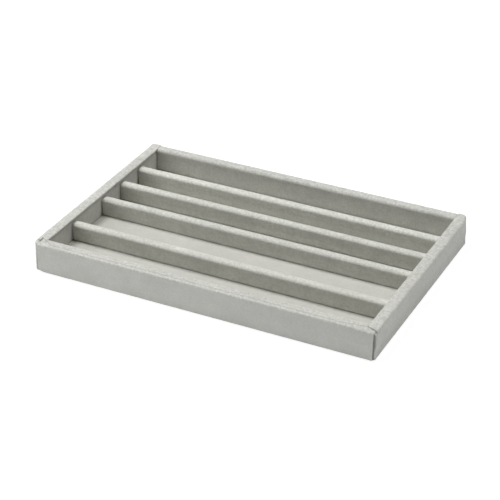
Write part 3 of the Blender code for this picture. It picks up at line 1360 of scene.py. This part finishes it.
@dataclass
class Walls:
    """The four wrapped walls and the two face strips."""

    finishes: Finishes
    bar: bpy.types.NodeTree
    strip: bpy.types.NodeTree
    hem: float = 0.0050

    def build(self) -> list[bpy.types.Object]:
        """Draw every wall's velour.

        Returns:
            The pieces.
        """
        return [cloth.build() for cloth in (*self.long_walls(), *self.side_walls(), *self.strips())]

    def shared(self) -> dict[str, object]:
        """What the four wraps have in common, by name."""
        low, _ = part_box("front_board")
        velour = self.finishes.wall_velour
        return {"tree": self.bar, "material": velour, "hem": self.hem, "inner_low": low.z}

    def long_walls(self) -> list[Wrap]:
        """The front wall with its tilted rim, and the rear wall with its round one.

        Returns:
            The two wraps.
        """
        sizes = {**self.shared(), "start_edge": 0.0004, "end_edge": 0.0004, "inner_corner": 0.0006,
                 "flat": (WALL_GIRTH, BETWEEN_WALLS)}
        front = Wrap("front_wrap", Side.FRONT, rests_on="front_board", seed=1.3, outer_radius=0.0022,
                     inner_radius=0.0008, lip=0.0009, tilt=FRONT_TILT, top_drop=FRONT_RIM_DROP, **sizes)
        rear = Wrap("rear_wrap", Side.REAR, rests_on="rear_board", seed=2.7, outer_radius=0.0010,
                    inner_radius=0.0025, slimmer=0.0002, **sizes)
        return [front, rear]

    def side_walls(self) -> list[Wrap]:
        """The left wall, which hangs over inwards, and the right wall, which leans out.

        The left one starts at the rear and the right one at the front. Each has a small step in its rim at
        the front, where the front strip's lap ends.

        Returns:
            The two wraps.
        """
        sizes = {**self.shared(), "closed": True, "inner_corner": 0.0005, "crown": 0.0002,
                 "foot_radius": 0.0005, "outer_radius": 0.0012, "inner_radius": 0.0006,
                 "flat": (WALL_GIRTH, SIDE_WALL_RUN)}
        left = Wrap("left_wrap", Side.LEFT, rests_on="left_board", seed=3.1, start_corner=0.0020,
                    end_corner=0.0035, start_edge=0.0006, end_edge=0.0006, lip=0.0011, end_draw=0.0005,
                    foot_share=0.0, start_lift=0.0003, end_crease=0.85, end_step=0.0011, step_reach=0.0044,
                    step_from=0.0027, **sizes)
        right = Wrap("right_wrap", Side.RIGHT, rests_on="right_board", seed=4.9, shift=0.0004, flare=0.0007,
                     flare_depth=0.0160, start_corner=0.0013, end_corner=0.0030, start_edge=0.0010,
                     end_edge=0.0008, lip=0.0002, start_draw=0.0002, end_draw=0.0014, foot_share=0.0,
                     end_lift=0.0004, start_crease=0.65, start_step=0.0016, step_reach=0.0015,
                     step_slant=0.37, **sizes)
        return [left, right]

    def strips(self) -> list[FaceStrip]:
        """The front strip, whose lap is longer near both ends, and the plain rear strip.

        Returns:
            The two strips.
        """
        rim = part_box("front_wrap")[1].z - FRONT_RIM_DROP
        rear_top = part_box("rear_face_strip")[1].z - REAR_STRIP_DROP
        shared = {"tree": self.strip, "material": self.finishes.strip_velour}
        front = FaceStrip("front_face_strip", Side.FRONT, rests_on="front_wrap", seed=5.3,
                          top=rim + AIR + CLOTH, lap=0.0027, lap_radius=0.0007,
                          lap_tilt=FRONT_TILT / FRONT_RIM_WIDTH, lap_crease=0.38, start_lap=0.0075,
                          end_lap=0.0026, lap_slant=0.37, start_drop=-0.0002, end_drop=0.0007,
                          start_crease=1.0, foot_short=0.0003, **shared)
        rear = FaceStrip("rear_face_strip", Side.REAR, rests_on="rear_wrap", seed=6.1, top=rear_top, **shared)
        return [front, rear]


@dataclass
class Partitions:
    """The velour over the four partitions."""

    finishes: Finishes
    bar: bpy.types.NodeTree
    first_seed: float = 11.0
    hem_gap: float = 0.001

    def build(self) -> list[bpy.types.Object]:
        """Draw the four covers.

        Returns:
            The pieces.
        """
        return [self.cover(number, velour) for number, velour in enumerate(self.finishes.cover_velours, 1)]

    def cover(self, number: int, velour: bpy.types.Material) -> bpy.types.Object:
        """Draw one cover, whose hems almost meet under the partition.

        Args:
            number: Which partition it is, from the front.
            velour: Its finish.

        Returns:
            The piece.
        """
        node = f"partition_cover_{number}"
        low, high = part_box(node)
        hem = (high.y - low.y) / 2 - self.hem_gap
        cover = Wrap(node, Side.FRONT, self.bar, velour, f"partition_board_{number}",
                     flat=(COVER_GIRTH, BETWEEN_WALLS), seed=self.first_seed + number - 1, closed=True,
                     hem=hem, inner_hem=hem, foot_radius=0.0005, inner_foot_radius=0.0005,
                     outer_radius=0.0022, inner_radius=0.0024, crown=0.0001, flare=0.0005,
                     start_corner=0.0010, end_corner=0.0010, inner_corner=0.0010, start_edge=0.0012,
                     end_edge=0.0012, wave_height=0.00008)
        return cover.build()


@dataclass
class LaidSheet:
    """A flat cloth, laid on what carries it."""

    node: str
    slot: str
    tree: bpy.types.NodeTree
    material: bpy.types.Material
    rests_on: str
    thickness: float
    edge_radius: float
    wave_height: float
    seed: float

    def build(self) -> bpy.types.Object:
        """Draw the sheet over its node's place.

        Returns:
            The piece.
        """
        low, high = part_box(self.node)
        length = high.x - low.x
        depth = high.y - low.y
        sizes = {
            **own_sizes(self),
            "half_length": length / 2,
            "half_depth": depth / 2,
            "top": high.z,
            "columns": SHEET_COLUMNS,
            "rows": SHEET_ROWS,
            "material": self.material,
        }
        piece = solid_piece(f"{self.node}_cloth", self.tree, sizes, self.thickness)
        own(piece, self.slot, self.node)
        return piece


@dataclass
class Base:
    """The floor's velour and the felt under the tray."""

    finishes: Finishes
    sheet: bpy.types.NodeTree

    def build(self) -> list[bpy.types.Object]:
        """Draw both sheets.

        Returns:
            The pieces.
        """
        floor = LaidSheet("floor_velour", "velour", self.sheet, self.finishes.floor_velour, "floor_card",
                          thickness=CLOTH, edge_radius=0.0004, wave_height=0.00016, seed=7.7)
        felt = LaidSheet("underside_felt", "felt", self.sheet, self.finishes.felt, "base_board",
                         thickness=FELT_THICKNESS, edge_radius=0.0003, wave_height=0.00006, seed=8.9)
        return [floor.build(), felt.build()]


@dataclass
class Cores:
    """The boards and the card, which keep their own shapes."""

    finishes: Finishes
    nodes: dict[str, bpy.types.Object]

    def build(self) -> list[bpy.types.Object]:
        """Give every core its finish.

        Returns:
            The dressed nodes.
        """
        dressed = []
        for name, node in self.nodes.items():
            if name.endswith("_board") or name.startswith("partition_board"):
                self.dress(node, self.finishes.board)
                dressed.append(node)
            elif name == "floor_card":
                self.dress(node, self.finishes.card)
                dressed.append(node)
        return dressed

    @staticmethod
    def dress(node: bpy.types.Object, material: bpy.types.Material) -> None:
        """Put a material on each of a node's slots."""
        for slot in node.material_slots:
            slot.material = material


# The studio
@dataclass(frozen=True)
class Lamp:
    """A soft square lamp that looks at the tray, from an azimuth and an elevation in degrees."""

    name: str
    azimuth: float
    elevation: float
    power: float
    distance: float = 1.5
    width: float = 0.5

    def build(self) -> bpy.types.Object:
        """Hang the lamp.

        Returns:
            The lamp.
        """
        light = bpy.data.lights.new(self.name, "AREA")
        light.shape = "RECTANGLE"
        light.size = light.size_y = self.width
        light.energy = self.power
        azimuth = math.radians(self.azimuth)
        elevation = math.radians(self.elevation)
        level = math.cos(elevation)
        away = Vector((math.sin(azimuth) * level, -math.cos(azimuth) * level, math.sin(elevation)))
        lamp = bpy.data.objects.new(self.name, light)
        lamp.location = CAMERA_AIM + away * self.distance
        lamp.rotation_euler = (-away).to_track_quat("-Z", "Y").to_euler()
        bpy.context.scene.collection.objects.link(lamp)
        return lamp


LAMPS = (
    Lamp("left_high", azimuth=-90.0, elevation=70.0, power=12.4),
    Lamp("rear_high", azimuth=115.0, elevation=70.0, power=6.4),
    Lamp("left_front", azimuth=-60.0, elevation=32.0, power=2.55, distance=1.1, width=0.4),
    Lamp("left_front_low", azimuth=-60.0, elevation=15.0, power=0.92, distance=1.1, width=0.4),
    Lamp("right", azimuth=90.0, elevation=52.0, power=2.3),
)


@dataclass
class Studio:
    """The pale table, the lamps, the white surroundings and the camera."""

    lamps: tuple[Lamp, ...] = LAMPS
    ambient: float = 0.001
    table_reach: float = 3.0
    table_drop: float = 0.0002
    table_colour: Colour = (0.90, 0.90, 0.92)
    table_glow: float = 0.224
    seen_colour: Colour = (0.25, 0.25, 0.25)
    seen_glow: float = 0.87

    def build(self) -> None:
        """Set everything up."""
        self.table()
        self.world()
        for lamp in self.lamps:
            lamp.build()
        self.camera()

    def table(self) -> None:
        """A plain pale table just under the tray."""
        mesh = bpy.data.meshes.new("table")
        reach = self.table_reach
        corners = [(-reach, -reach, 0.0), (reach, -reach, 0.0), (reach, reach, 0.0), (-reach, reach, 0.0)]
        mesh.from_pydata(corners, [], [(0, 1, 2, 3)])
        mesh.materials.append(self.table_material())
        table = bpy.data.objects.new("table", mesh)
        table.location = (0.0, 0.0, -self.table_drop)
        bpy.context.scene.collection.objects.link(table)

    def table_material(self) -> bpy.types.Material:
        """Pale to the light that falls on it, and white to the camera but for the tray's soft shadow.

        Returns:
            The material.
        """
        material = bpy.data.materials.new("pale table")
        material.use_nodes = True
        nodes = material.node_tree.nodes
        links = material.node_tree.links
        nodes.remove(nodes["Principled BSDF"])
        path = nodes.new("ShaderNodeLightPath")
        mix = nodes.new("ShaderNodeMixShader")
        links.new(path.outputs["Is Camera Ray"], mix.inputs[0])
        looks = ((self.table_colour, self.table_glow), (self.seen_colour, self.seen_glow))
        for number, (colour, strength) in enumerate(looks, 1):
            matt = nodes.new("ShaderNodeBsdfDiffuse")
            matt.inputs["Color"].default_value = (*colour, 1.0)
            glow = nodes.new("ShaderNodeEmission")
            glow.inputs["Strength"].default_value = strength
            both = nodes.new("ShaderNodeAddShader")
            links.new(matt.outputs[0], both.inputs[0])
            links.new(glow.outputs[0], both.inputs[1])
            links.new(both.outputs[0], mix.inputs[number])
        links.new(mix.outputs[0], nodes["Material Output"].inputs["Surface"])
        return material

    def world(self) -> None:
        """Faint even light from all round, white where the camera or a reflection sees it."""
        world = bpy.data.worlds.new("surroundings")
        bpy.context.scene.world = world
        world.use_nodes = True
        nodes = world.node_tree.nodes
        links = world.node_tree.links
        back = nodes["Background"]
        back.inputs["Color"].default_value = (1.0, 1.0, 1.0, 1.0)
        path = nodes.new("ShaderNodeLightPath")
        seen = nodes.new("ShaderNodeMath")
        seen.operation = "MAXIMUM"
        links.new(path.outputs["Is Camera Ray"], seen.inputs[0])
        links.new(path.outputs["Is Glossy Ray"], seen.inputs[1])
        level = nodes.new("ShaderNodeMapRange")
        level.inputs["To Min"].default_value = self.ambient
        level.inputs["To Max"].default_value = 1.0
        links.new(seen.outputs[0], level.inputs["Value"])
        links.new(level.outputs["Result"], back.inputs["Strength"])

    def camera(self) -> None:
        """The camera that matches the photograph."""
        data = bpy.data.cameras.new("camera")
        data.lens = CAMERA_LENS_MM
        data.sensor_width = CAMERA_SENSOR_MM
        data.clip_start = CAMERA_NEAR
        data.clip_end = CAMERA_FAR
        camera = bpy.data.objects.new("camera", data)
        camera.location = CAMERA_PLACE
        camera.rotation_euler = (CAMERA_AIM - CAMERA_PLACE).to_track_quat("-Z", "Y").to_euler()
        bpy.context.scene.collection.objects.link(camera)
        bpy.context.scene.camera = camera


def main() -> None:
    """Dress the tray, piece by piece, and set up the studio."""
    logging.basicConfig(level=logging.INFO, format="%(message)s")
    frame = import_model()
    bpy.context.scene.view_settings.view_transform = "Standard"
    finishes = Finishes()
    bar = WrappedBar().tree()
    parts = (
        Base(finishes, FlatSheet().tree()),
        Cores(finishes, frame["nodes"]),
        Walls(finishes, bar, LappedStrip().tree()),
        Partitions(finishes, bar),
    )
    for part in parts:
        for piece in part.build():
            log.info("%s: %d faces", piece.name, len(piece.data.polygons))
    Studio().build()


if __name__ == "__main__":
    main()
